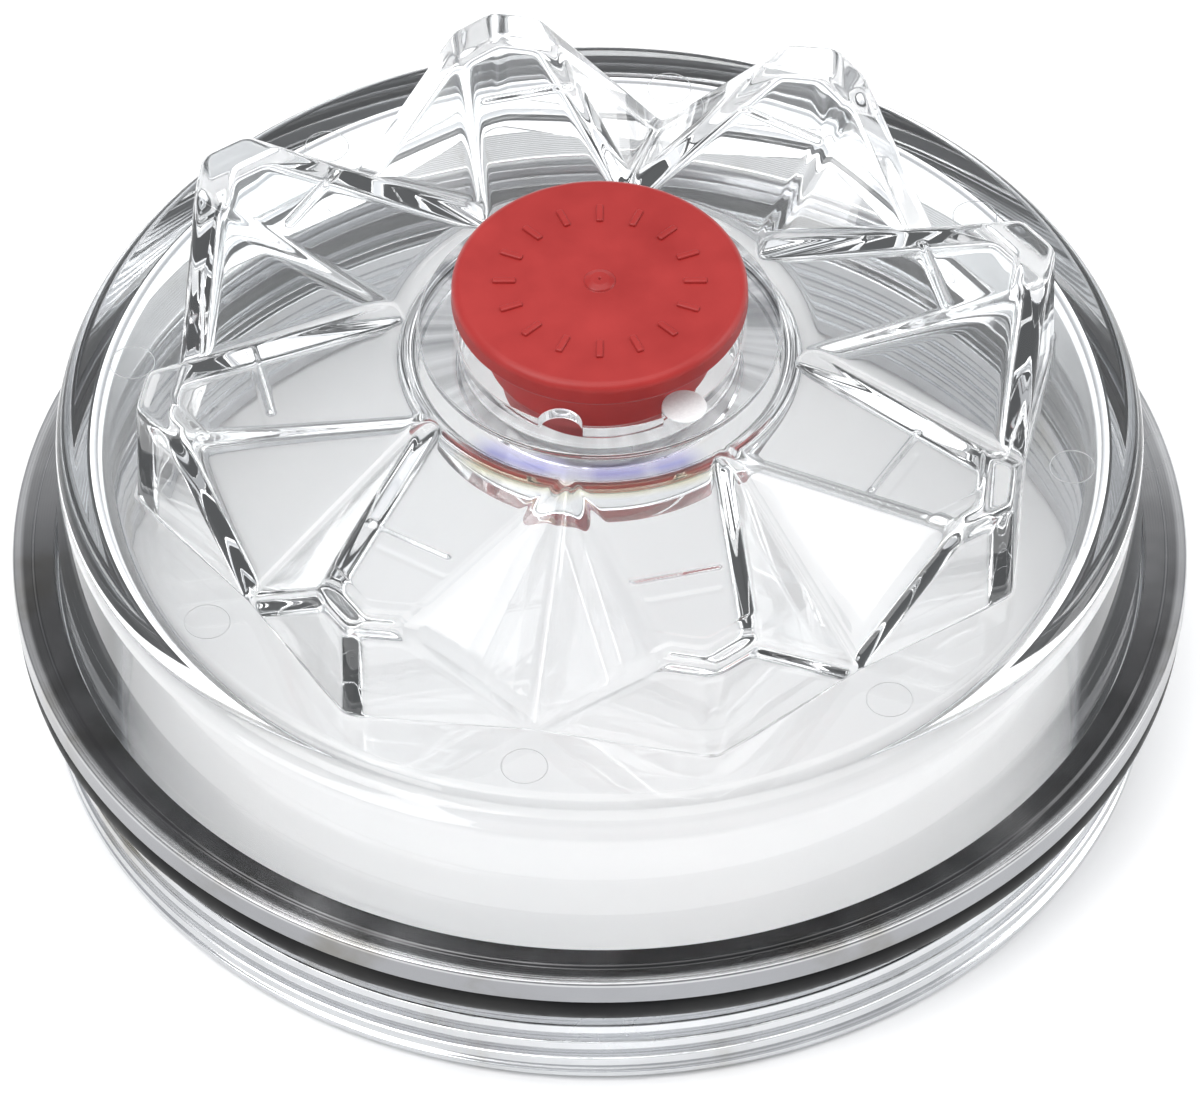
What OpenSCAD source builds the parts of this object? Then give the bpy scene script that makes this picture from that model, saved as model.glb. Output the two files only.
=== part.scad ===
// Screw-in oil hub cap with a clear sight window
//
// A wheel-end cap for an oil-bathed truck or trailer hub. An aluminium ring
// screws into the hub and squeezes an O-ring under its flange. A clear moulded
// window with an eight-point faceted crown is held under the rolled lip of the
// ring, and a red rubber plug closes the fill hole in the middle of the crown.
//
// Millimetres, +Z up. The origin is on the axis, level with the open lower end
// of the threaded skirt. Every piece is its own node.

/* [View] */
// Piece to draw on its own, or all of them

/* [Flange and lip] */
// Outside diameter of the flange
flange_d = 154.4; // [140:0.1:170]
// Height of the flat top face of the flange
flange_z = 24.0; // [18:0.1:32]
// Thickness of the flange
flange_t = 3.7; // [2:0.1:6]
// Small chamfer on both edges of the flange
flange_chamfer = 0.5; // [0:0.1:1.5]
// How far the rolled lip stands above the flange
lip_rise = 0.35; // [0:0.05:1]
// Inside diameter of the rolled lip
lip_d = 143.0; // [138:0.1:148]
// Thickness of the rolled lip over the window foot
lip_t = 1.55; // [1:0.05:3]

/* [Threaded skirt] */
// Major diameter of the outside thread
thread_d = 146.2; // [130:0.1:160]
// Thread pitch, eight threads to the inch
thread_pitch = 3.175; // [1.5:0.001:4]
// Depth of the thread grooves
thread_depth = 1.35; // [0.6:0.05:2.5]
// Number of thread grooves on the skirt
thread_turns = 4; // [2:1:6]
// Plain land below the first groove
thread_start = 1.7; // [0.5:0.1:4]
// Inside diameter of the open lower end
skirt_bore_d = 132.0; // [120:0.5:138]
// Height of the ledge under the window
ledge_z = 15.0; // [10:0.1:18]
// Pitch of the fine steps turned inside the skirt
inner_step = 2.5; // [1.5:0.1:4]

/* [Seals] */
// Cord diameter of the O-ring under the flange
flange_seal_cord = 4.4; // [2:0.1:5.3]
// Diameter of the relief behind the thread, where the O-ring sits
relief_d = 145.0; // [138:0.1:150]
// Height of the lower end of the relief
relief_z = 15.6; // [14:0.1:18]
// Cord diameter of the seal round the window spigot
window_seal_cord = 1.8; // [1:0.1:3]

/* [Window wall] */
// Outside diameter of the clear wall at the top
wall_top_d = 140.9; // [130:0.1:150]
// Outside diameter of the clear wall at the lip
wall_foot_d = 142.3; // [130:0.1:150]
// Wall thickness of the clear moulding
wall_t = 3.9; // [2.5:0.1:6]
// Radius of the rounded shoulder round the top
shoulder_r = 2.4; // [0.5:0.1:6]
// Diameter of the foot trapped under the lip
foot_d = 144.6; // [140:0.1:150]
// Diameter of the spigot below the foot
spigot_d = 138.4; // [130:0.1:142]
// Height of the flat ring of the window round the crown
deck_z = 47.0; // [40:0.5:60]

/* [Crown] */
// Height of the crown above the flat ring
crown_h = 16.1; // [8:0.1:25]
// Distance from the axis to each point of the crown
point_r = 60.8; // [50:0.1:66]
// Distance from the axis to the foot of each valley
valley_foot_r = 55.4; // [45:0.1:62]
// Distance from the axis to the start of each valley
valley_start_r = 27.2; // [24:0.1:40]
// Half the opening angle of each valley
valley_half_angle = 49.5; // [30:0.5:65]
// Width of the narrow flat along the bottom of each valley
valley_flat = 1.2; // [0.4:0.1:3]
// Rounding of the eight upright corners
corner_round = 2.2; // [0.5:0.1:5]
// Turn of the crown about the axis
crown_turn = 13.75; // [0:0.25:45]
// Shell thickness of the crown
crown_t = 3.7; // [2.5:0.1:6]
// How far the outer end of each point is raised as a facet
tip_rise = 0.45; // [0:0.05:1.5]
// Distance from the axis to the inner edge of the tip facet
tip_inner_r = 55.9; // [48:0.1:60]
// Distance from the axis to the flow rib on each point
rib_r = 44.2; // [35:0.1:52]
// Width of the flow rib
rib_w = 0.9; // [0.4:0.1:2]
// Height of the flow rib
rib_h = 0.35; // [0.1:0.05:1]

/* [Fill well] */
// Inside diameter of the well round the plug collar
well_d = 36.4; // [32:0.1:44]
// Outside diameter of the thick ring round the well
well_ring_d = 46.8; // [40:0.1:56]
// How far the thick ring stands above the crown
well_ring_rise = 0.6; // [0:0.1:3]
// Depth of the well below the top of the crown
well_depth = 3.4; // [1:0.1:8]
// Thickness of the well floor
well_floor_t = 3.0; // [2:0.1:6]
// Height of the lower end of the thick ring
well_skirt_z = 49.5; // [45:0.1:58]
// Diameter of the fill hole
fill_hole_d = 25.8; // [20:0.1:32]
// Diameter of the two moulding posts beside the well
post_d = 5.8; // [3:0.1:8]

/* [Fill plug] */
// Diameter of the plug head
head_d = 38.0; // [30:0.1:45]
// Thickness of the plug head
head_t = 3.4; // [2:0.1:6]
// Height of the top face of the plug
head_z = 71.5; // [66:0.1:80]
// Rounding of the top edge of the head
head_round = 1.2; // [0.3:0.1:1.6]
// Diameter of the collar under the head
collar_d = 29.4; // [24:0.1:34]
// Diameter of the neck in the fill hole
neck_d = 25.2; // [20:0.1:31]
// Diameter of the sealing bead at its squeezed size
bead_d = 25.68; // [20:0.02:32]
// Bore of the hollow underside
plug_bore_d = 17.0; // [10:0.5:22]
// Number of raised marks round the head
mark_count = 16; // [8:1:32]
// Distance from the axis to the raised marks
mark_r = 12.2; // [8:0.1:15]

/* [Hidden] */
$fn = 96;
eps = 0.02;
points = 8;
step = 360 / points;
crown_z = deck_z + crown_h;
flange_bottom = flange_z - flange_t;
lip_bottom = flange_z + lip_rise - lip_t;
foot_gap = 0.1;
foot_bottom = 20.6;
seal_bore_d = spigot_d + 2 * window_seal_cord + 0.1;
spigot_bottom = ledge_z + 0.3;
plate_bottom = deck_z - wall_t;
inner_top_r = wall_top_d / 2 - wall_t;
inner_foot_r = spigot_d / 2 - 2.6;
thread_root_r = thread_d / 2 - thread_depth;
valley_run = valley_foot_r - valley_start_r;
valley_slope = atan(crown_h / valley_run);
valley_len = norm([crown_h, valley_run]);
mid_a = step / 2;
edge_dx = valley_foot_r * cos(mid_a) - point_r;
edge_dy = valley_foot_r * sin(mid_a);
edge_turn = atan(edge_dy / -edge_dx);
floor_z = crown_z - well_depth;
bead_z = floor_z - well_floor_t / 2;
head_bottom = head_z - head_t;

// ---------- aluminium ring ----------

module thread_groove(z) {
  translate([thread_root_r, z])
    polygon([
      [0, -0.35],
      [0, 0.35],
      [thread_depth + 0.4, 1.25],
      [thread_depth + 0.4, -1.25]
    ]);
}

module ring_profile() {
  r_out = flange_d / 2;
  c = flange_chamfer;
  difference() {
    union() {
      translate([skirt_bore_d / 2, 0])
        square([thread_d / 2 - skirt_bore_d / 2, flange_bottom + 1]);
      polygon([
        [spigot_d / 2, flange_bottom],
        [r_out - c, flange_bottom],
        [r_out, flange_bottom + c],
        [r_out, flange_z - c],
        [r_out - c, flange_z],
        [spigot_d / 2, flange_z]
      ]);
      // rolled lip over the foot of the window
      translate([lip_d / 2, lip_bottom])
        square([1.6, lip_t - 0.35]);
      translate([lip_d / 2 + 0.75, flange_z + lip_rise - 0.75])
        circle(d = 1.5);
      translate([lip_d / 2 + 0.75, flange_z - 0.5])
        square([1.0, 0.5 + lip_rise]);
      translate([lip_d / 2 + 1.75, flange_z + lip_rise - 0.75])
        circle(d = 1.5);
    }
    // mouth for the clear wall
    translate([0, lip_bottom - 1])
      square([lip_d / 2, 10]);
    // pocket for the window foot
    translate([0, foot_bottom - foot_gap])
      square([foot_d / 2 + 0.2, lip_bottom - foot_bottom + foot_gap]);
    // bore for the window seal
    translate([0, ledge_z])
      square([seal_bore_d / 2, foot_bottom - ledge_z]);
    // open lower end
    translate([0, -1])
      square([skirt_bore_d / 2, ledge_z + 2]);
    // lead-in chamfers at the lower end
    polygon([
      [thread_d / 2 - 1.2, -eps],
      [thread_d / 2 + 1, -eps],
      [thread_d / 2 + 1, 2.2]
    ]);
    polygon([
      [skirt_bore_d / 2 - 1, -eps],
      [skirt_bore_d / 2 + 0.8, -eps],
      [skirt_bore_d / 2 - 1, 1.8]
    ]);
    // relief behind the thread
    translate([relief_d / 2, relief_z])
      square([1, flange_bottom - relief_z]);
    // thread grooves
    for (k = [0 : thread_turns - 1])
      thread_groove(thread_start + 1.4 + k * thread_pitch);
    // fine steps turned in the inside of the skirt
    for (k = [0 : 3])
      translate([skirt_bore_d / 2 - 1, 3.2 + k * inner_step])
        square([1.5, inner_step / 2]);
  }
}

module housing_ring() {
  color("Silver")
    rotate_extrude()
      ring_profile();
}

// ---------- seals ----------

module flange_seal() {
  r = flange_seal_cord / 2;
  color("DimGray")
    rotate_extrude()
      translate([relief_d / 2 + r + 0.05, flange_bottom - r - 0.05])
        circle(r = r);
}

module window_seal() {
  r = window_seal_cord / 2;
  color("Black")
    rotate_extrude()
      translate([spigot_d / 2 + r + 0.025, 17.9])
        circle(r = r);
}

// ---------- clear window ----------

module wall_profile() {
  top_r = wall_top_d / 2;
  foot_r = wall_foot_d / 2;
  top_foot = lip_bottom - foot_gap;
  difference() {
    polygon([
      [0, spigot_bottom],
      [spigot_d / 2, spigot_bottom],
      [spigot_d / 2, foot_bottom],
      [foot_d / 2, foot_bottom],
      [foot_d / 2, top_foot],
      [foot_r, top_foot],
      for (a = [0 : 15 : 90])
        [
          top_r - shoulder_r * (1 - cos(a)),
          deck_z - shoulder_r * (1 - sin(a))
        ],
      [0, deck_z]
    ]);
    // inside of the dome
    polygon([
      [-1, 0],
      [inner_foot_r, 0],
      [inner_foot_r, foot_bottom],
      [inner_top_r, plate_bottom - 1.2],
      [inner_top_r - 1.2, plate_bottom],
      [-1, plate_bottom]
    ]);
  }
}

// sharp outline of the crown, t smaller all round
module crown_polygon(t) {
  tip = point_r - t / sin(edge_turn);
  notch = valley_foot_r - t / sin(edge_turn + mid_a);
  polygon([
    for (i = [0 : points * 2 - 1])
      let (d = i % 2 == 0 ? tip : notch, a = i * mid_a)
        [d * cos(a), d * sin(a)]
  ]);
}

// outline of the crown with its eight upright corners rounded
module crown_outline() {
  back = corner_round / sin(edge_turn);
  cut = back * cos(edge_turn) * cos(edge_turn);
  difference() {
    crown_polygon(0);
    for (i = [0 : points - 1])
      rotate(i * step)
        translate([point_r - cut, -6])
          square([8, 12]);
  }
  for (i = [0 : points - 1])
    rotate(i * step)
      translate([point_r - back, 0])
        circle(r = corner_round);
}

// long V-shaped bar lying along a valley, its faces moved outwards by t
module valley_bar(t) {
  reach = 34;
  drop = t / sin(valley_half_angle);
  flat = valley_flat / 2;
  translate([valley_start_r, 0, crown_z])
    rotate([0, 90 + valley_slope, 0])
      translate([drop, 0, -8])
        linear_extrude(height = valley_len + 30)
          polygon([
            [-flat / tan(valley_half_angle), flat],
            [-flat / tan(valley_half_angle), -flat],
            [-reach, -reach * tan(valley_half_angle)],
            [-reach, reach * tan(valley_half_angle)]
          ]);
}

module crown_outside() {
  difference() {
    union() {
      translate([0, 0, deck_z - 1])
        linear_extrude(height = crown_h + 1)
          crown_outline();
      // raised facets at the outer end of the points
      intersection() {
        translate([0, 0, crown_z - 1])
          linear_extrude(height = 1 + tip_rise)
            crown_outline();
        for (i = [0 : points - 1])
          rotate(i * step)
            translate([tip_inner_r, 0, 0])
              tip_block();
      }
      // flow ribs
      for (i = [0 : points - 1])
        rotate(i * step + 1)
          translate([rib_r - rib_w / 2, -7.6, crown_z - 0.5])
            cube([rib_w, 14, 0.5 + rib_h]);
    }
    intersection() {
      for (i = [0 : points - 1])
        rotate(i * step + mid_a)
          valley_bar(0);
      translate([0, 0, deck_z + 50])
        cube([200, 200, 100], center = true);
    }
  }
}

// chevron-shaped block under a tip facet
module tip_block() {
  lean = 90 - edge_turn;
  translate([0, 0, crown_z - 2])
    linear_extrude(height = 4)
      polygon([
        [0, 0],
        [-12 * tan(lean), 12],
        [12, 12],
        [12, -12],
        [-12 * tan(lean), -12]
      ]);
}

module crown_inside() {
  difference() {
    translate([0, 0, plate_bottom - 1])
      linear_extrude(height = crown_h + wall_t - crown_t + 1)
        crown_polygon(crown_t);
    for (i = [0 : points - 1])
      rotate(i * step + mid_a)
        valley_bar(crown_t);
  }
}

module window() {
  color("Lavender", 0.5)
    difference() {
      union() {
        difference() {
          union() {
            rotate_extrude()
              wall_profile();
            rotate([0, 0, crown_turn])
              crown_outside();
          }
          rotate([0, 0, crown_turn])
            crown_inside();
        }
        // thick ring and floor of the fill well
        translate([0, 0, well_skirt_z])
          cylinder(d = well_ring_d, h = crown_z + well_ring_rise - well_skirt_z);
      }
      // well for the plug collar
      difference() {
        translate([0, 0, floor_z])
          cylinder(d = well_d, h = 20);
        well_posts();
      }
      // fill hole
      translate([0, 0, well_skirt_z - 1])
        cylinder(d = fill_hole_d, h = 20);
      // pocket under the well floor
      translate([0, 0, well_skirt_z - 1])
        cylinder(d = well_d, h = floor_z - well_floor_t - well_skirt_z + 1);
    }
}

module well_posts() {
  for (a = [-54, -106])
    rotate(a)
      translate([18.3, 0, floor_z - 1])
        cylinder(d = post_d, h = well_depth + well_ring_rise + 1.2);
}

// ---------- rubber fill plug ----------

module plug_profile() {
  r = head_d / 2;
  k = head_round;
  difference() {
    union() {
      // head
      translate([0, head_bottom + 0.4])
        square([r, head_t - 0.4 - k]);
      translate([0, head_bottom])
        square([r - 0.4, head_t - k]);
      translate([0, head_bottom])
        square([r - k, head_t]);
      translate([r - k, head_z - k])
        circle(r = k);
      // collar, neck and bead
      translate([0, floor_z + 0.05])
        square([collar_d / 2, head_bottom - floor_z]);
      translate([0, bead_z - 6])
        square([neck_d / 2, 10]);
      translate([0, bead_z - 0.6])
        square([bead_d / 2, 1.2]);
      // vent nub
      translate([0, head_z - 0.2])
        square([1.6, 0.6]);
    }
    // hollow underside
    translate([-1, bead_z - 7])
      square([plug_bore_d / 2 + 1, head_bottom - bead_z + 6]);
    translate([-20, 0])
      square([20, 100]);
  }
}

module fill_plug() {
  color("Crimson")
    difference() {
      union() {
        rotate_extrude()
          plug_profile();
        // plain raised marks round the head
        for (i = [0 : mark_count - 1])
          rotate(i * 360 / mark_count)
            translate([mark_r, 0, head_z + 0.1])
              cube([3.0, 0.9, 0.9], center = true);
      }
      // vent slit
      translate([0, 0, head_z])
        cube([2.2, 0.5, 6], center = true);
    }
}

housing_ring();
flange_seal();
window_seal();
window();
fill_plug();
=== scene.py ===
"""Looks for a screw-in oil hub cap with a clear sight window.

For Blender 4.5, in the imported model's frame. Lengths are in millimetres until they reach Blender,
which takes metres.
"""

import math

import bmesh
import bpy
import numpy as np
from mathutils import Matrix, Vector


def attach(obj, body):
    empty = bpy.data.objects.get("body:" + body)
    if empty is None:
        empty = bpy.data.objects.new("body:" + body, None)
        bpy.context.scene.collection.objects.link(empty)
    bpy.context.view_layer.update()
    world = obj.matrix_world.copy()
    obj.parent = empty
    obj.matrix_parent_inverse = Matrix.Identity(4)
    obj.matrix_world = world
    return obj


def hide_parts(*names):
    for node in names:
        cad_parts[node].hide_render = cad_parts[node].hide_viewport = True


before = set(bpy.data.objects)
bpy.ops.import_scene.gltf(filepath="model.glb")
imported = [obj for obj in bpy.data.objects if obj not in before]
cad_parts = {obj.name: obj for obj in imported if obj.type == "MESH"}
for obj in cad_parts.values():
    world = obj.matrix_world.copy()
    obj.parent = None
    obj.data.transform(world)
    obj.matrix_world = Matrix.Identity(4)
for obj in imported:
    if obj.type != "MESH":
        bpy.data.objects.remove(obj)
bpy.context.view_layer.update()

MM = 0.001
ROUNDING_DEG = 10.0  # the coarsest step round a rounded corner

# ---------------------------------------------------------------- sizes, in millimetres
AROUND = 960  # steps round the axis on the window, a multiple of eight
POINTS = 8
STEP = 2 * math.pi / POINTS
CROWN_TURN = math.radians(13.75)
DECK_Z, CROWN_Z = 47.0, 63.1
DECK_UNDER_Z, CROWN_UNDER_Z = 43.1, 59.4
POINT_R, VALLEY_FOOT_R, VALLEY_START_R = 60.8, 55.4, 27.2
VALLEY_HALF_ANGLE = math.radians(49.5)
SHELL_T = 3.7
WELL_R, WELL_RING_R, WELL_RING_Z = 18.2, 23.4, 63.7
WELL_FLOOR_Z, WELL_UNDER_Z, WELL_SKIRT_Z = 59.7, 56.7, 49.5
FILL_HOLE_R = 12.9
POST_R, POST_OUT = 2.9, 18.3
POST_AZIMUTHS = (-54.0, -106.0)
THREAD_R, THREAD_PITCH, THREAD_DEPTH = 73.1, 3.175, 1.35
THREAD_LOW, THREAD_HIGH, THREAD_RUN = 1.9, 15.2, 1.2
GROOVE_Z, GROOVE_HALF_W, GROOVE_FLANK = 3.1, 1.0, 0.62  # GROOVE_Z is at angle zero
SEAL_R, SEAL_Z, SEAL_CORD_R = 74.75, 18.05, 2.2
HEAD_Z, HEAD_UNDER_Z = 71.5, 68.1
MARKS, MARK_R, MARK_LENGTH, MARK_WIDTH, MARK_HEIGHT = 16, 12.2, 3.0, 0.9, 0.7
EJECTOR_R, EJECTOR_RING_R = 61.6, 2.9
FLANGE_R, FLANGE_TOP_Z, FLANGE_UNDER_Z = 77.2, 24.0, 20.3
SKIRT_BORE_R, SKIRT_STEP_PITCH, SKIRT_STEP_DEPTH = 66.0, 2.675, 0.55
SKIRT_STEPS_LOW, SKIRT_STEPS_HIGH = 2.7, 13.4


# ---------------------------------------------------------------- mesh helpers
def smooth_min(a, b, blend):
    h = np.clip(blend - np.abs(a - b), 0, None) / blend
    return np.minimum(a, b) - h * h * blend / 4


def smooth_max(a, b, blend):
    return -smooth_min(-a, -b, blend)


def rounded_path(corners):
    """A path through (r, z, rounding radius) corners, as two arrays."""
    pts = [np.array(c[:2], float) for c in corners]
    path = [pts[0]]
    for i in range(1, len(pts) - 1):
        radius = corners[i][2]
        a = (pts[i - 1] - pts[i]) / np.linalg.norm(pts[i - 1] - pts[i])
        b = (pts[i + 1] - pts[i]) / np.linalg.norm(pts[i + 1] - pts[i])
        inner = math.acos(float(np.clip(a @ b, -1, 1)))
        if radius <= 0 or inner > math.pi - 0.02:
            path.append(pts[i])
            continue
        back = radius / math.tan(inner / 2)
        start, end = pts[i] + a * back, pts[i] + b * back
        centre = pts[i] + (a + b) / np.linalg.norm(a + b) * (
            radius / math.sin(inner / 2)
        )
        turn = math.pi - inner
        count = max(3, math.ceil(math.degrees(turn) / ROUNDING_DEG))
        t0 = math.atan2(*(start - centre)[::-1])
        t1 = math.atan2(*(end - centre)[::-1])
        sweep = (t1 - t0 + math.pi) % (2 * math.pi) - math.pi
        for k in range(count + 1):
            t = t0 + sweep * k / count
            path.append(centre + radius * np.array([math.cos(t), math.sin(t)]))
    path.append(pts[-1])
    path = np.array(path)
    return path[:, 0], path[:, 1]


def grid_object(name, r, z, angles):
    """A smooth closed quad mesh from r and z in mm, each [angle, along], turned round the axis.
    Its normals are weighted by area."""
    x, y = r * np.cos(angles)[:, None], r * np.sin(angles)[:, None]
    co = np.stack([x, y, z], -1) * MM
    na, nl = r.shape
    a, k = np.meshgrid(np.arange(na), np.arange(nl), indexing="ij")
    a2, k2 = (a + 1) % na, (k + 1) % nl
    quads = np.stack(
        [a * nl + k, a * nl + k2, a2 * nl + k2, a2 * nl + k], -1
    ).reshape(-1, 4)
    flat = co.reshape(-1, 3)
    face = np.cross(
        flat[quads[:, 2]] - flat[quads[:, 0]], flat[quads[:, 3]] - flat[quads[:, 1]]
    )
    normals = np.zeros_like(flat)
    for corner in range(4):
        np.add.at(normals, quads[:, corner], face)
    length = np.linalg.norm(normals, axis=1, keepdims=True)
    normals /= np.where(length > 0, length, 1)
    mesh = bpy.data.meshes.new(name)
    mesh.vertices.add(len(flat))
    mesh.vertices.foreach_set("co", flat.ravel())
    mesh.loops.add(quads.size)
    mesh.loops.foreach_set("vertex_index", quads.ravel())
    mesh.polygons.add(len(quads))
    mesh.polygons.foreach_set("loop_start", np.arange(0, quads.size, 4))
    mesh.polygons.foreach_set("use_smooth", np.ones(len(quads), bool))
    mesh.update(calc_edges=True)
    mesh.validate()
    mesh.normals_split_custom_set_from_vertices(normals)
    obj = bpy.data.objects.new(name, mesh)
    bpy.context.scene.collection.objects.link(obj)
    return obj


def lathe(name, corners, around):
    """A closed turned piece from (r, z, rounding) corners, listed so that the outside is on the
    left of travel."""
    r, z = rounded_path(corners)
    angles = np.linspace(0, 2 * math.pi, around, endpoint=False)
    return grid_object(name, np.tile(r, (around, 1)), np.tile(z, (around, 1)), angles)


# ---------------------------------------------------------------- clear window
VALLEY_SLOPE = math.atan((CROWN_Z - DECK_Z) / (VALLEY_FOOT_R - VALLEY_START_R))
FACE_RISE = 1 / (math.tan(VALLEY_HALF_ANGLE) * math.cos(VALLEY_SLOPE))
EDGE_X = POINT_R - VALLEY_FOOT_R * math.cos(STEP / 2)
EDGE_Y = VALLEY_FOOT_R * math.sin(STEP / 2)
EDGE_LENGTH = math.hypot(EDGE_X, EDGE_Y)
EDGE_NX, EDGE_NY = EDGE_Y / EDGE_LENGTH, EDGE_X / EDGE_LENGTH
CORNER_BLEND, VALLEY_BLEND, RIDGE_BLEND, FOOT_BLEND = 1.0, 1.8, 1.0, 0.5
TOP_EDGE_R, UNDER_EDGE_R = 0.9, 1.3
DRAFT = 36.0  # the upright sides fall this many mm for each mm outwards
TIP_BAND, TIP_RISE, TIP_BLEND = 4.55, 0.25, 0.7
RIB_R, RIB_HALF_W, RIB_H = 44.2, 0.36, 0.50
RIB_HALF_LENGTH, RIB_SHIFT, RIB_END = 6.2, 1.0, 0.5
BOWL_FILLET = 4.5
EDGE_ZONE_IN, EDGE_ZONE_OUT, EDGE_SAMPLES = 2.4, 1.3, 1400  # the finely divided strip


def crown_surface(r, a, shell):
    """Height of the top of the crown (shell 0), or of the hollow under it (shell is the wall
    thickness)."""
    m = np.mod(a - CROWN_TURN + STEP / 2, STEP) - STEP / 2
    x, y = r * np.cos(m), r * np.sin(m)
    one = (POINT_R - x) * EDGE_NX - y * EDGE_NY
    two = (POINT_R - x) * EDGE_NX + y * EDGE_NY
    inside = smooth_min(one, two, CORNER_BLEND) - shell
    roof = CROWN_UNDER_Z if shell else CROWN_Z
    z = np.full_like(r, roof)
    if not shell:
        raised = np.clip((TIP_BAND - inside) / TIP_BLEND + 0.5, 0, 1)
        z = z + TIP_RISE * raised * raised * (3 - 2 * raised)
        rib_end = np.clip((RIB_HALF_LENGTH - np.abs(y + RIB_SHIFT)) / RIB_END, 0, 1)
        z = z + RIB_H * rib_end * np.exp(-(((x - RIB_R) / RIB_HALF_W) ** 2))
    sink = shell * math.sqrt(1 + math.tan(VALLEY_SLOPE) ** 2 + FACE_RISE**2)
    for side in (-1, 1):
        v = m - side * STEP / 2
        vx, vy = r * np.cos(v), r * np.sin(v)
        line = CROWN_Z - (vx - VALLEY_START_R) * math.tan(VALLEY_SLOPE)
        trough = smooth_max(line + vy * FACE_RISE, line - vy * FACE_RISE, VALLEY_BLEND)
        z = smooth_min(z, trough - sink, RIDGE_BLEND)
    edge = UNDER_EDGE_R if shell else TOP_EDGE_R
    near = np.clip(inside, 0, edge)
    drop = edge - np.sqrt(np.maximum(edge**2 - (edge - near) ** 2, 0))
    drop = drop + np.clip(-inside, 0, None) * DRAFT
    z = smooth_max(z - drop, DECK_UNDER_Z if shell else DECK_Z, FOOT_BLEND)
    if shell:
        to_end = BOWL_FILLET - np.clip(r - WELL_RING_R, 0, BOWL_FILLET)
        fall = BOWL_FILLET - np.sqrt(np.maximum(BOWL_FILLET**2 - to_end**2, 0))
        z = np.minimum(z, CROWN_UNDER_Z - fall)
    return z


def crown_patch(angles, shell, r_in, r_out, n_top, n_edge, n_deck):
    """r and z from r_in out to r_out, with grid lines that follow the crown's star-shaped edge."""
    a = angles[:, None]
    m = np.mod(a - CROWN_TURN + STEP / 2, STEP) - STEP / 2
    edge_r = (POINT_R * EDGE_NX - shell) / (
        np.cos(m) * EDGE_NX + np.abs(np.sin(m)) * EDGE_NY
    )
    top_end, edge_end = edge_r - EDGE_ZONE_IN, edge_r + EDGE_ZONE_OUT
    t = np.linspace(0, 1, n_top, endpoint=False)[None, :]
    r_top = r_in + (top_end - r_in) * t
    dense = top_end + (edge_end - top_end) * np.linspace(0, 1, EDGE_SAMPLES)[None, :]
    dense_z = crown_surface(dense, np.broadcast_to(a, dense.shape), shell)
    run = np.cumsum(np.hypot(np.diff(dense, axis=1), np.diff(dense_z, axis=1)), axis=1)
    run = np.concatenate([np.zeros((len(angles), 1)), run], axis=1)
    run /= run[:, -1:]
    want = np.linspace(0, 1, n_edge)
    r_edge = np.stack([np.interp(want, run[i], dense[i]) for i in range(len(angles))])
    t = np.linspace(0, 1, n_deck + 1)[None, 1:]
    r_deck = edge_end + (r_out - edge_end) * t
    r = np.concatenate([r_top, r_edge, r_deck], axis=1)
    return r, crown_surface(r, np.broadcast_to(a, r.shape), shell)


def well_radius(angles):
    """The well's wall, pushed in where the two moulding posts merge with it."""
    r = np.full_like(angles, WELL_R)
    for azimuth in POST_AZIMUTHS:
        off = np.angle(np.exp(1j * (angles - math.radians(azimuth))))
        half = POST_R**2 - (POST_OUT * np.sin(off)) ** 2
        near = np.where(
            (half > 0) & (np.abs(off) < 1),
            POST_OUT * np.cos(off) - np.sqrt(np.maximum(half, 0)),
            WELL_R,
        )
        r = np.minimum(r, near)
    return r


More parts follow.
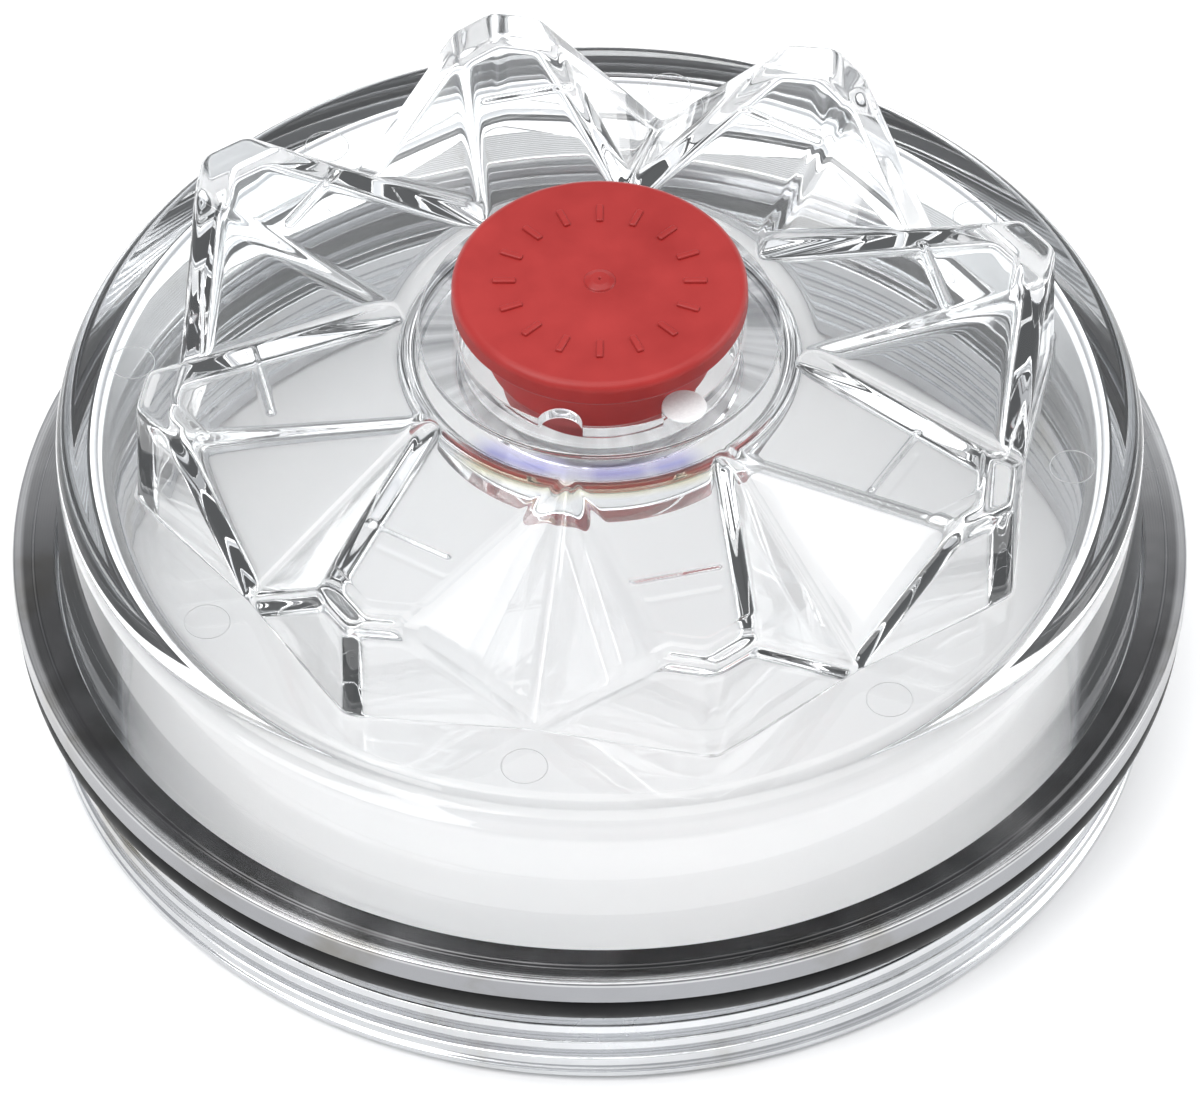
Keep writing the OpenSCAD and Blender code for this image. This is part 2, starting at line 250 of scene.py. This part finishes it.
def window_piece():
    angles = np.linspace(0, 2 * math.pi, AROUND, endpoint=False)
    one = np.ones((AROUND, 1))

    def turned(corners):
        r, z = rounded_path(corners)
        return one * r[None, :], one * z[None, :]

    top = crown_patch(
        angles, shell=0.0, r_in=WELL_RING_R + 0.15, r_out=64.5, n_top=150, n_edge=44, n_deck=10
    )
    # the shoulder, the foot in the ring's pocket, the spigot, and back up the inside
    wall = turned([
        (66.0, DECK_Z, 0), (70.45, DECK_Z, 2.4), (71.15, 22.75, 0.15), (72.3, 22.75, 0.3),
        (72.3, 20.6, 0.3), (69.2, 20.6, 0.2), (69.2, 15.3, 0.3), (66.6, 15.3, 0.3),
        (66.6, 20.6, 0), (66.5, DECK_UNDER_Z, 3.0), (62.3, DECK_UNDER_Z, 0),
    ])
    under_r, under_z = crown_patch(
        angles, shell=SHELL_T, r_in=WELL_RING_R + 0.02, r_out=61.5, n_top=80, n_edge=40, n_deck=8
    )
    under = under_r[:, ::-1], under_z[:, ::-1]
    skirt = turned([
        (WELL_RING_R, 53.5, 0), (WELL_RING_R, WELL_SKIRT_Z, 0.5), (WELL_R, WELL_SKIRT_Z, 0.5),
        (WELL_R, WELL_UNDER_Z, 0.8), (FILL_HOLE_R, WELL_UNDER_Z, 0.3),
        (FILL_HOLE_R, WELL_FLOOR_Z, 0.3), (FILL_HOLE_R + 1.5, WELL_FLOOR_Z, 0),
    ])
    low = FILL_HOLE_R + 1.9  # the well's wall is pushed in for the posts beyond this radius
    well_r, well_z = turned([
        (low, WELL_FLOOR_Z, 0), (WELL_R, WELL_FLOOR_Z, 0.5), (WELL_R, WELL_RING_Z, 0.5),
        (WELL_RING_R, WELL_RING_Z, 0.3), (WELL_RING_R, CROWN_Z, 0),
    ])
    new = well_radius(angles)[:, None]
    inner = low + (well_r - low) * (new - low) / (WELL_R - low)
    outer = new + (well_r - WELL_R) * (WELL_RING_R - new) / (WELL_RING_R - WELL_R)
    well = np.where(well_r <= WELL_R, inner, outer), well_z
    parts = [top, wall, under, skirt, well]
    r = np.concatenate([p[0] for p in parts], axis=1)
    z = np.concatenate([p[1] for p in parts], axis=1)
    return grid_object("sight_window", r, z, angles)


# ---------------------------------------------------------------- aluminium ring
def ring_piece():
    around = 720
    angles = np.linspace(0, 2 * math.pi, around, endpoint=False)
    # listed from the mouth of the lip outwards, down the outside, and back up the inside
    r1, z1 = rounded_path([
        # rolled lip and flange
        (71.6, 23.0, 0), (71.5, 24.35, 0.35), (74.3, 24.35, 0.4), (74.6, FLANGE_TOP_Z, 0.3),
        (FLANGE_R, FLANGE_TOP_Z, 0.45), (FLANGE_R, FLANGE_UNDER_Z, 0.45),
        # neck that holds the O-ring, down to the thread
        (72.5, FLANGE_UNDER_Z, 0.3), (72.5, 15.6, 0.2), (THREAD_R, 15.6, 0.1),
        (THREAD_R, THREAD_HIGH, 0),
    ])
    z_thread = np.linspace(THREAD_HIGH, THREAD_LOW, 170)[1:]
    r2, z2 = rounded_path([
        (THREAD_R, THREAD_LOW - 0.1, 0), (THREAD_R, 1.2, 0.2), (71.9, 0.0, 0.2), (66.8, 0.0, 0.2),
        (SKIRT_BORE_R, 0.9, 0.2), (SKIRT_BORE_R, SKIRT_STEPS_LOW - 0.1, 0),
    ])
    z_step = np.linspace(SKIRT_STEPS_LOW, SKIRT_STEPS_HIGH, 120)
    r3, z3 = rounded_path([
        # seat and bore for the hidden window seal
        (SKIRT_BORE_R, SKIRT_STEPS_HIGH + 0.2, 0), (SKIRT_BORE_R, 15.0, 0.2), (70.9, 15.0, 0.2),
        (70.9, 20.5, 0.2),
        # pocket for the window's foot, up to the mouth of the lip
        (72.5, 20.5, 0.2), (72.5, 22.8, 0.2), (71.7, 22.8, 0.1), (71.6, 22.9, 0),
    ])
    turn = (THREAD_PITCH * angles / (2 * math.pi))[:, None]
    off = np.mod(z_thread[None, :] - GROOVE_Z - turn + THREAD_PITCH / 2, THREAD_PITCH)
    off = np.abs(off - THREAD_PITCH / 2)
    cut = np.clip((GROOVE_HALF_W - off) / GROOVE_FLANK, 0, 1)
    cut = cut * cut * (3 - 2 * cut)
    run_in = np.clip((z_thread - THREAD_LOW) / THREAD_RUN, 0, 1)
    run_out = np.clip((THREAD_HIGH - z_thread) / THREAD_RUN, 0, 1)
    fade = run_in * run_out
    r_thread = THREAD_R - THREAD_DEPTH * cut * fade[None, :]
    # fine turned steps inside the skirt
    wave = 0.5 - 0.5 * np.cos(2 * math.pi * (z_step - SKIRT_STEPS_LOW) / SKIRT_STEP_PITCH)
    r_step = SKIRT_BORE_R + SKIRT_STEP_DEPTH * wave**0.7
    one = np.ones((around, 1))
    r = np.concatenate([one * r1, r_thread, one * r2, one * r_step, one * r3], axis=1)
    z = np.concatenate([one * z1, one * z_thread, one * z2, one * z_step, one * z3], axis=1)
    return grid_object("threaded_ring", r, z, angles)


# ---------------------------------------------------------------- rubber
def seal_piece():
    t = np.linspace(0, 2 * math.pi, 40, endpoint=False)
    angles = np.linspace(0, 2 * math.pi, 480, endpoint=False)
    one = np.ones((len(angles), 1))
    r = one * (SEAL_R - SEAL_CORD_R * np.cos(t))[None, :]
    z = one * (SEAL_Z + SEAL_CORD_R * np.sin(t))[None, :]
    return grid_object("flange_o_ring", r, z, angles)


def plug_piece():
    return lathe("rubber_plug", [
        # vent nub and head
        (0.02, 71.78, 0), (0.28, 72.02, 0.15), (1.15, 72.03, 0.5), (1.95, 71.72, 0.5),
        (2.05, HEAD_Z, 0.15), (18.9, HEAD_Z, 1.2), (19.0, 68.5, 0.5), (18.6, HEAD_UNDER_Z, 0.3),
        # collar, neck and bead
        (14.75, HEAD_UNDER_Z, 0.35), (14.7, 59.8, 0.4), (12.6, 59.75, 0.25), (12.6, 58.95, 0.2),
        (12.83, 58.6, 0.2), (12.83, 57.8, 0.2), (12.6, 57.4, 0.2), (12.6, 52.2, 0.5),
        # cored underside
        (8.5, 52.2, 0.5), (8.5, 67.0, 1.0), (0.02, 67.1, 0),
    ], 320)


def mark_piece():
    """Plain raised bars round the plug head, one mesh, in place of any lettering."""
    mesh = bpy.data.meshes.new("head_marks")
    bm = bmesh.new()
    for i in range(MARKS):
        made = bmesh.ops.create_cube(bm, size=1.0)["verts"]
        a = 2 * math.pi * i / MARKS
        out, across = Vector((math.cos(a), math.sin(a), 0)), Vector((-math.sin(a), math.cos(a), 0))
        for v in made:
            flat = out * (v.co.x * MARK_LENGTH + MARK_R) + across * (v.co.y * MARK_WIDTH)
            v.co = (flat + Vector((0, 0, v.co.z * MARK_HEIGHT + HEAD_Z + 0.02))) * MM
    bm.to_mesh(mesh)
    bm.free()
    obj = bpy.data.objects.new("head_marks", mesh)
    bpy.context.scene.collection.objects.link(obj)
    bevel = obj.modifiers.new("soft_edges", "BEVEL")
    bevel.width, bevel.segments = 0.22 * MM, 3
    for p in mesh.polygons:
        p.use_smooth = True
    obj.modifiers.new("even_normals", "WEIGHTED_NORMAL")
    return obj


def pad_piece(name, azimuth):
    """The frosted top of a moulding post."""
    a = math.radians(azimuth)
    obj = lathe(name, [
        (0.01, 0.30, 0), (POST_R - 0.05, 0.26, 0.2), (POST_R, 0.03, 0.05), (0.01, 0.02, 0),
    ], 96)
    obj.location = Vector((POST_OUT * math.cos(a), POST_OUT * math.sin(a), WELL_RING_Z)) * MM
    return obj


def ejector_piece(name, azimuth):
    """A fine circular witness line on the flat ring of the window."""
    t = np.linspace(0, 2 * math.pi, 8, endpoint=False)
    angles = np.linspace(0, 2 * math.pi, 96, endpoint=False)
    one = np.ones((len(angles), 1))
    r = one * (EJECTOR_RING_R - 0.07 * np.cos(t))[None, :]
    obj = grid_object(name, r, one * (0.05 * np.sin(t))[None, :], angles)
    a = math.radians(azimuth)
    obj.location = Vector((EJECTOR_R * math.cos(a), EJECTOR_R * math.sin(a), DECK_Z + 0.02)) * MM
    return obj


# ---------------------------------------------------------------- materials
ACRYLIC_IOR = 1.49


def new_material(name):
    mat = bpy.data.materials.new(name)
    mat.use_nodes = True
    nodes, links = mat.node_tree.nodes, mat.node_tree.links
    return mat, nodes, links, nodes["Principled BSDF"]


def add(nodes, kind, **values):
    node = nodes.new(kind)
    for key, value in values.items():
        setattr(node, key, value)
    return node


def noise(nodes, links, scale, detail=4.0, rough=0.55, stretch=None):
    """Noise over the object's own coordinates, which are in metres."""
    place = add(nodes, "ShaderNodeTexCoord")
    tex = add(nodes, "ShaderNodeTexNoise")
    tex.inputs["Scale"].default_value = scale
    tex.inputs["Detail"].default_value = detail
    tex.inputs["Roughness"].default_value = rough
    if stretch:
        mapping = add(nodes, "ShaderNodeMapping")
        mapping.inputs["Scale"].default_value = stretch
        links.new(place.outputs["Object"], mapping.inputs["Vector"])
        links.new(mapping.outputs["Vector"], tex.inputs["Vector"])
    else:
        links.new(place.outputs["Object"], tex.inputs["Vector"])
    return tex


def ramp(nodes, links, source, low, high, value_low, value_high):
    """A factor spread over two values."""
    node = add(nodes, "ShaderNodeMapRange")
    node.inputs["From Min"].default_value = low
    node.inputs["From Max"].default_value = high
    node.inputs["To Min"].default_value = value_low
    node.inputs["To Max"].default_value = value_high
    links.new(source, node.inputs["Value"])
    return node.outputs["Result"]


def colours(nodes, links, source, stops):
    """A colour from a factor, by (position, colour) stops."""
    node = add(nodes, "ShaderNodeValToRGB")
    elements = node.color_ramp.elements
    while len(elements) < len(stops):
        elements.new(0.5)
    for element, (at, colour) in zip(elements, stops):
        element.position, element.color = at, (*colour, 1)
    links.new(source, node.inputs["Fac"])
    return node.outputs["Color"]


def base_colour(nodes, links, source, shader, stops):
    """A base colour that follows a noise, by the stops of colours."""
    links.new(colours(nodes, links, source, stops), shader.inputs["Base Color"])


def roughness(nodes, links, source, shader, *levels):
    """A roughness that follows a noise, by the four levels of ramp."""
    links.new(ramp(nodes, links, source, *levels), shader.inputs["Roughness"])


def bump(nodes, links, height, shader, distance, strength):
    """Fine relief in the shading only. The distance is in metres."""
    node = add(nodes, "ShaderNodeBump")
    node.inputs["Distance"].default_value = distance
    node.inputs["Strength"].default_value = strength
    links.new(height, node.inputs["Height"])
    links.new(node.outputs["Normal"], shader.inputs["Normal"])


def cylindrical(nodes, links):
    """The object's own radius, angle, Y and Z, in metres and radians, as sockets."""
    place = add(nodes, "ShaderNodeTexCoord")
    split = add(nodes, "ShaderNodeSeparateXYZ")
    links.new(place.outputs["Object"], split.inputs["Vector"])
    flat = add(nodes, "ShaderNodeVectorMath", operation="MULTIPLY")
    flat.inputs[1].default_value = (1, 1, 0)
    links.new(place.outputs["Object"], flat.inputs[0])
    radius = add(nodes, "ShaderNodeVectorMath", operation="LENGTH")
    links.new(flat.outputs["Vector"], radius.inputs[0])
    angle = add(nodes, "ShaderNodeMath", operation="ARCTAN2")
    links.new(split.outputs["Y"], angle.inputs[0])
    links.new(split.outputs["X"], angle.inputs[1])
    return radius.outputs["Value"], angle.outputs["Value"], split.outputs["Y"], split.outputs["Z"]


def product(nodes, links, *sockets):
    """The sockets' values multiplied together."""
    total = sockets[0]
    for socket in sockets[1:]:
        node = add(nodes, "ShaderNodeMath", operation="MULTIPLY")
        links.new(total, node.inputs[0])
        links.new(socket, node.inputs[1])
        total = node.outputs["Value"]
    return total


def tinted(nodes, links, base, tint, amount=None):
    """base multiplied by tint, fully or as far as amount says."""
    mix = add(nodes, "ShaderNodeMixRGB", blend_type="MULTIPLY")
    mix.inputs["Fac"].default_value = 1.0
    if amount is not None:
        links.new(amount, mix.inputs["Fac"])
    links.new(base, mix.inputs["Color1"])
    links.new(tint, mix.inputs["Color2"])
    return mix.outputs["Color"]


def clear_plastic():
    mat, nodes, links, shader = new_material("clear_moulded_plastic")
    shader.inputs["Transmission Weight"].default_value = 1.0
    shader.inputs["IOR"].default_value = ACRYLIC_IOR
    # a very faint glow, in place of the scattering that lightens thick moulded plastic
    shader.inputs["Emission Color"].default_value = (0.93, 0.965, 1.0, 1.0)
    shader.inputs["Emission Strength"].default_value = 0.013
    haze = noise(nodes, links, 60, 6)
    roughness(nodes, links, haze.outputs["Fac"], shader, 0.35, 0.8, 0.0, 0.05)
    tint = noise(nodes, links, 18, 2)
    base = colours(nodes, links, tint.outputs["Fac"], [
        (0.3, (0.975, 0.988, 0.993)), (0.7, (0.998, 0.999, 0.998)),
    ])
    radius, angle, y, z = cylindrical(nodes, links)
    top = ramp(nodes, links, z, 60.5 * MM, 61.2 * MM, 0.0, 1.0)
    # painted light: a tint, in place of the silver streaks of refracted light seen in the thick ring
    # round the fill well, stronger towards the front
    polar = add(nodes, "ShaderNodeCombineXYZ")
    links.new(angle, polar.inputs["X"])
    links.new(radius, polar.inputs["Y"])
    streak = add(nodes, "ShaderNodeTexNoise")
    streak.inputs["Scale"].default_value = 3.2
    streak.inputs["Detail"].default_value = 6
    links.new(polar.outputs["Vector"], streak.inputs["Vector"])
    painted_refraction_streaks = colours(nodes, links, streak.outputs["Fac"], [
        (0.36, (0.10, 0.105, 0.115)), (0.46, (0.28, 0.285, 0.30)),
        (0.53, (0.72, 0.73, 0.75)), (0.62, (0.20, 0.205, 0.22)),
    ])
    refraction_streak_mask = product(
        nodes, links, top,
        ramp(nodes, links, radius, 18.4 * MM, 19.0 * MM, 0.0, 1.0),
        ramp(nodes, links, radius, 23.0 * MM, 23.5 * MM, 1.0, 0.0),
        ramp(nodes, links, y, -21 * MM, -4 * MM, 0.42, 1.0),
    )
    base = tinted(nodes, links, base, painted_refraction_streaks, refraction_streak_mask)
    # painted light: a tint fixed in the plastic, in place of the prism colours of dispersed light
    # seen in front of the ring
    spread = ramp(nodes, links, radius, 23.6 * MM, 30.5 * MM, 0.0, 1.0)
    painted_prism_colours = colours(nodes, links, spread, [
        (0.0, (1.0, 1.0, 1.0)), (0.14, (0.62, 0.60, 0.98)), (0.34, (0.20, 0.20, 0.62)),
        (0.50, (0.30, 0.27, 0.42)), (0.64, (0.90, 0.55, 0.30)), (0.80, (1.0, 0.90, 0.50)),
        (1.0, (1.0, 1.0, 1.0)),
    ])
    thrown = product(
        nodes, links, top,
        ramp(nodes, links, angle, math.radians(-130), math.radians(-122), 0.0, 1.0),
        ramp(nodes, links, angle, math.radians(-66), math.radians(-58), 1.0, 0.0),
        ramp(nodes, links, streak.outputs["Fac"], 0.36, 0.50, 0.55, 1.0),
    )
    links.new(tinted(nodes, links, base, painted_prism_colours, thrown), shader.inputs["Base Color"])
    ripple = noise(nodes, links, 110, 2, 0.4)
    bump(nodes, links, ripple.outputs["Fac"], shader, 0.02 * MM, 0.35)
    return mat


def frosted_plastic(name, clearness):
    mat, nodes, links, shader = new_material(name)
    shader.inputs["Transmission Weight"].default_value = clearness
    shader.inputs["IOR"].default_value = ACRYLIC_IOR
    grain = noise(nodes, links, 2600, 3)
    roughness(nodes, links, grain.outputs["Fac"], shader, 0.3, 0.7, 0.45, 0.65)
    base_colour(nodes, links, grain.outputs["Fac"], shader, [
        (0.3, (0.82, 0.83, 0.84)), (0.7, (0.93, 0.94, 0.94)),
    ])
    bump(nodes, links, grain.outputs["Fac"], shader, 0.03 * MM, 0.6)
    return mat


def flange_stain_and_painted_reflection(nodes, links):
    """What the metal's colour is multiplied by, painted by position: part stain and part painted
    reflection, dark on top of the flange, most at the front; and painted darker reflection on the
    flange's edge and the skirt, duller on the flange's edge than on the skirt."""
    radius, _, y, z = cylindrical(nodes, links)
    patchy = noise(nodes, links, 38, 4)
    amount = product(
        nodes, links,
        ramp(nodes, links, radius, 75.6 * MM, 76.2 * MM, 1.0, 0.45),
        ramp(nodes, links, z, 23.6 * MM, 23.9 * MM, 0.0, 1.0),
        ramp(nodes, links, y, -32 * MM, 52 * MM, 1.0, 0.0),
        ramp(nodes, links, patchy.outputs["Fac"], 0.38, 0.56, 0.80, 1.0),
    )
    stain_and_painted_reflection = colours(nodes, links, amount, [
        (0.0, (1, 1, 1)), (0.35, (0.52, 0.52, 0.525)),
        (0.70, (0.17, 0.17, 0.173)), (1.0, (0.055, 0.055, 0.056)),
    ])
    # painted reflection: the flange's edge and the skirt are darkened, the edge most
    side = colours(nodes, links, ramp(nodes, links, z, 19.5 * MM, 20.2 * MM, 0.0, 1.0), [
        (0.0, (0.84, 0.85, 0.865)), (1.0, (0.36, 0.365, 0.38)),
    ])
    low = ramp(nodes, links, z, 23.4 * MM, 23.9 * MM, 1.0, 0.0)
    return tinted(nodes, links, stain_and_painted_reflection, side, low)


def turned_aluminium():
    mat, nodes, links, shader = new_material("turned_aluminium")
    shader.inputs["Metallic"].default_value = 1.0
    fine = add(nodes, "ShaderNodeTexWave", wave_type="RINGS", rings_direction="Z")
    fine.inputs["Scale"].default_value = 900
    fine.inputs["Distortion"].default_value = 0.8
    fine.inputs["Detail"].default_value = 2.0
    place = add(nodes, "ShaderNodeTexCoord")
    links.new(place.outputs["Object"], fine.inputs["Vector"])
    blotch = noise(nodes, links, 45, 5)
    level = noise(nodes, links, 700, 2, 0.5, (0.05, 0.05, 1.6))
    mix = add(nodes, "ShaderNodeMath", operation="MULTIPLY_ADD")
    links.new(level.outputs["Fac"], mix.inputs[0])
    mix.inputs[1].default_value = 0.6
    links.new(fine.outputs["Fac"], mix.inputs[2])
    roughness(nodes, links, blotch.outputs["Fac"], shader, 0.3, 0.75, 0.12, 0.30)
    bare = colours(nodes, links, blotch.outputs["Fac"], [
        (0.30, (0.56, 0.54, 0.49)), (0.42, (0.74, 0.74, 0.74)), (0.75, (0.84, 0.845, 0.85)),
    ])
    shaded = tinted(nodes, links, bare, flange_stain_and_painted_reflection(nodes, links))
    links.new(shaded, shader.inputs["Base Color"])
    bump(nodes, links, mix.outputs["Value"], shader, 0.02 * MM, 0.45)
    return mat


def black_rubber():
    mat, nodes, links, shader = new_material("black_rubber")
    grain = noise(nodes, links, 420, 5)
    dust = noise(nodes, links, 70, 4)
    base_colour(nodes, links, dust.outputs["Fac"], shader, [
        (0.35, (0.006, 0.006, 0.007)), (0.8, (0.018, 0.018, 0.017)),
    ])
    roughness(nodes, links, grain.outputs["Fac"], shader, 0.3, 0.7, 0.34, 0.55)
    shader.inputs["Specular IOR Level"].default_value = 0.2
    bump(nodes, links, grain.outputs["Fac"], shader, 0.04 * MM, 0.5)
    return mat


def red_rubber():
    mat, nodes, links, shader = new_material("red_rubber")
    cloud = noise(nodes, links, 90, 5)
    grain = noise(nodes, links, 1500, 3)
    _, _, _, z = cylindrical(nodes, links)
    mix = add(nodes, "ShaderNodeMixRGB", blend_type="MIX")
    # paler below the head, in place of the light that reaches it through the window
    low, high = (HEAD_UNDER_Z - 0.5) * MM, (HEAD_UNDER_Z + 0.2) * MM
    lower = [(0.3, (0.42, 0.033, 0.032)), (0.7, (0.51, 0.048, 0.046))]
    head = [(0.3, (0.245, 0.014, 0.013)), (0.7, (0.320, 0.023, 0.021))]
    links.new(ramp(nodes, links, z, low, high, 0.0, 1.0), mix.inputs["Fac"])
    links.new(colours(nodes, links, cloud.outputs["Fac"], lower), mix.inputs["Color1"])
    links.new(colours(nodes, links, cloud.outputs["Fac"], head), mix.inputs["Color2"])
    links.new(mix.outputs["Color"], shader.inputs["Base Color"])
    roughness(nodes, links, cloud.outputs["Fac"], shader, 0.3, 0.7, 0.30, 0.42)
    shader.inputs["Specular IOR Level"].default_value = 0.26
    shader.inputs["Sheen Weight"].default_value = 0.03
    bump(nodes, links, grain.outputs["Fac"], shader, 0.03 * MM, 0.45)
    return mat


def paint(obj, material):
    obj.data.materials.clear()
    obj.data.materials.append(material)


# ---------------------------------------------------------------- the object
clear, metal = clear_plastic(), turned_aluminium()
frosted = frosted_plastic("frosted_plastic", 0.25)
faint = frosted_plastic("faint_frosted_plastic", 0.92)
black, red = black_rubber(), red_rubber()

window = window_piece()
ring = ring_piece()
seal = seal_piece()
plug = plug_piece()
marks = mark_piece()
pad = pad_piece("post_pad", POST_AZIMUTHS[0])
circles = [
    ejector_piece(f"ejector_mark_{n + 1}", math.degrees(CROWN_TURN + STEP * (n + 0.5)))
    for n in range(POINTS)
]

for piece, material, slot, body, node in [
    (window, clear, "clear_window", "cap", "window"),
    (ring, metal, "ring_metal", "cap", "housing_ring"),
    (seal, black, "seal_rubber", "cap", "flange_seal"),
    (plug, red, "plug_rubber", "plug", "fill_plug"),
]:
    paint(piece, material)
    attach(piece, body)
    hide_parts(node)
paint(marks, red)
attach(marks, "plug")
for piece in [pad, *circles]:
    paint(piece, frosted if piece is pad else faint)
    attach(piece, "cap")
paint(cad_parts["window_seal"], black)


# ---------------------------------------------------------------- floor, light and camera, in metres
def floor_piece():
    mesh = bpy.data.meshes.new("floor")
    half = 6.0
    corners = [(-half, -half, 0), (half, -half, 0), (half, half, 0), (-half, half, 0)]
    mesh.from_pydata(corners, [], [(0, 1, 2, 3)])
    obj = bpy.data.objects.new("floor", mesh)
    bpy.context.scene.collection.objects.link(obj)
    mat, nodes, links, shader = new_material("pale_floor")
    speck = noise(nodes, links, 8, 2)
    base_colour(nodes, links, speck.outputs["Fac"], shader, [
        (0.3, (0.90, 0.90, 0.90)), (0.7, (0.93, 0.93, 0.93)),
    ])
    shader.inputs["Roughness"].default_value = 0.9
    paint(obj, mat)
    obj.location.z = -0.2 * MM  # clear of the cap's lower rim


def studio_world():
    """A white ceiling light over a grey room with pale walls low down."""
    world = bpy.data.worlds.new("studio")
    bpy.context.scene.world = world
    world.use_nodes = True
    nodes, links = world.node_tree.nodes, world.node_tree.links
    place = add(nodes, "ShaderNodeTexCoord")
    split = add(nodes, "ShaderNodeSeparateXYZ")
    links.new(place.outputs["Generated"], split.inputs["Vector"])
    shade = colours(nodes, links, split.outputs["Z"], [
        (0.0, (0.90, 0.91, 0.93)), (0.20, (0.80, 0.82, 0.85)), (0.38, (0.46, 0.47, 0.49)),
        (0.58, (0.34, 0.35, 0.365)), (0.70, (0.62, 0.63, 0.65)), (0.90, (1.0, 1.0, 1.0)),
    ])
    links.new(shade, nodes["Background"].inputs["Color"])
    level = ramp(nodes, links, split.outputs["Z"], 0.80, 0.90, 1.10, 2.9)
    links.new(level, nodes["Background"].inputs["Strength"])


LIGHT_AIM = Vector((0, 0, 0.04))


def area_light(name, place, width, height, energy):
    data = bpy.data.lights.new(name, "AREA")
    data.shape, data.size, data.size_y, data.energy = "RECTANGLE", width, height, energy
    obj = bpy.data.objects.new(name, data)
    bpy.context.scene.collection.objects.link(obj)
    obj.location = place
    obj.rotation_euler = (LIGHT_AIM - Vector(place)).to_track_quat("-Z", "Y").to_euler()


CAMERA_ELEVATION = math.radians(46.97)
CAMERA_DISTANCE = 1.1322
CAMERA_AIM = Vector((0, 0, 0.0204))
camera_data = bpy.data.cameras.new("camera")
camera_data.lens, camera_data.sensor_width = 257.7, 36.0
camera_data.shift_x, camera_data.shift_y = 0.0003, 0.0064
camera_data.clip_start, camera_data.clip_end = 0.05, 50
camera = bpy.data.objects.new("camera", camera_data)
bpy.context.scene.collection.objects.link(camera)
camera.location = CAMERA_AIM + CAMERA_DISTANCE * Vector(
    (0, -math.cos(CAMERA_ELEVATION), math.sin(CAMERA_ELEVATION))
)
camera.rotation_euler = (CAMERA_AIM - camera.location).to_track_quat("-Z", "Y").to_euler()
bpy.context.scene.camera = camera

floor_piece()
studio_world()
area_light("key_softbox", (-0.7, -0.5, 1.1), width=0.9, height=0.9, energy=10.5)
area_light("rim_softbox", (1.25, 0.15, 0.7), width=0.7, height=0.9, energy=7)
bpy.context.scene.view_settings.view_transform = "Standard"
bpy.context.scene.cycles.use_denoising = True
bpy.context.scene.cycles.max_bounces = 24
bpy.context.scene.cycles.transmission_bounces = 24
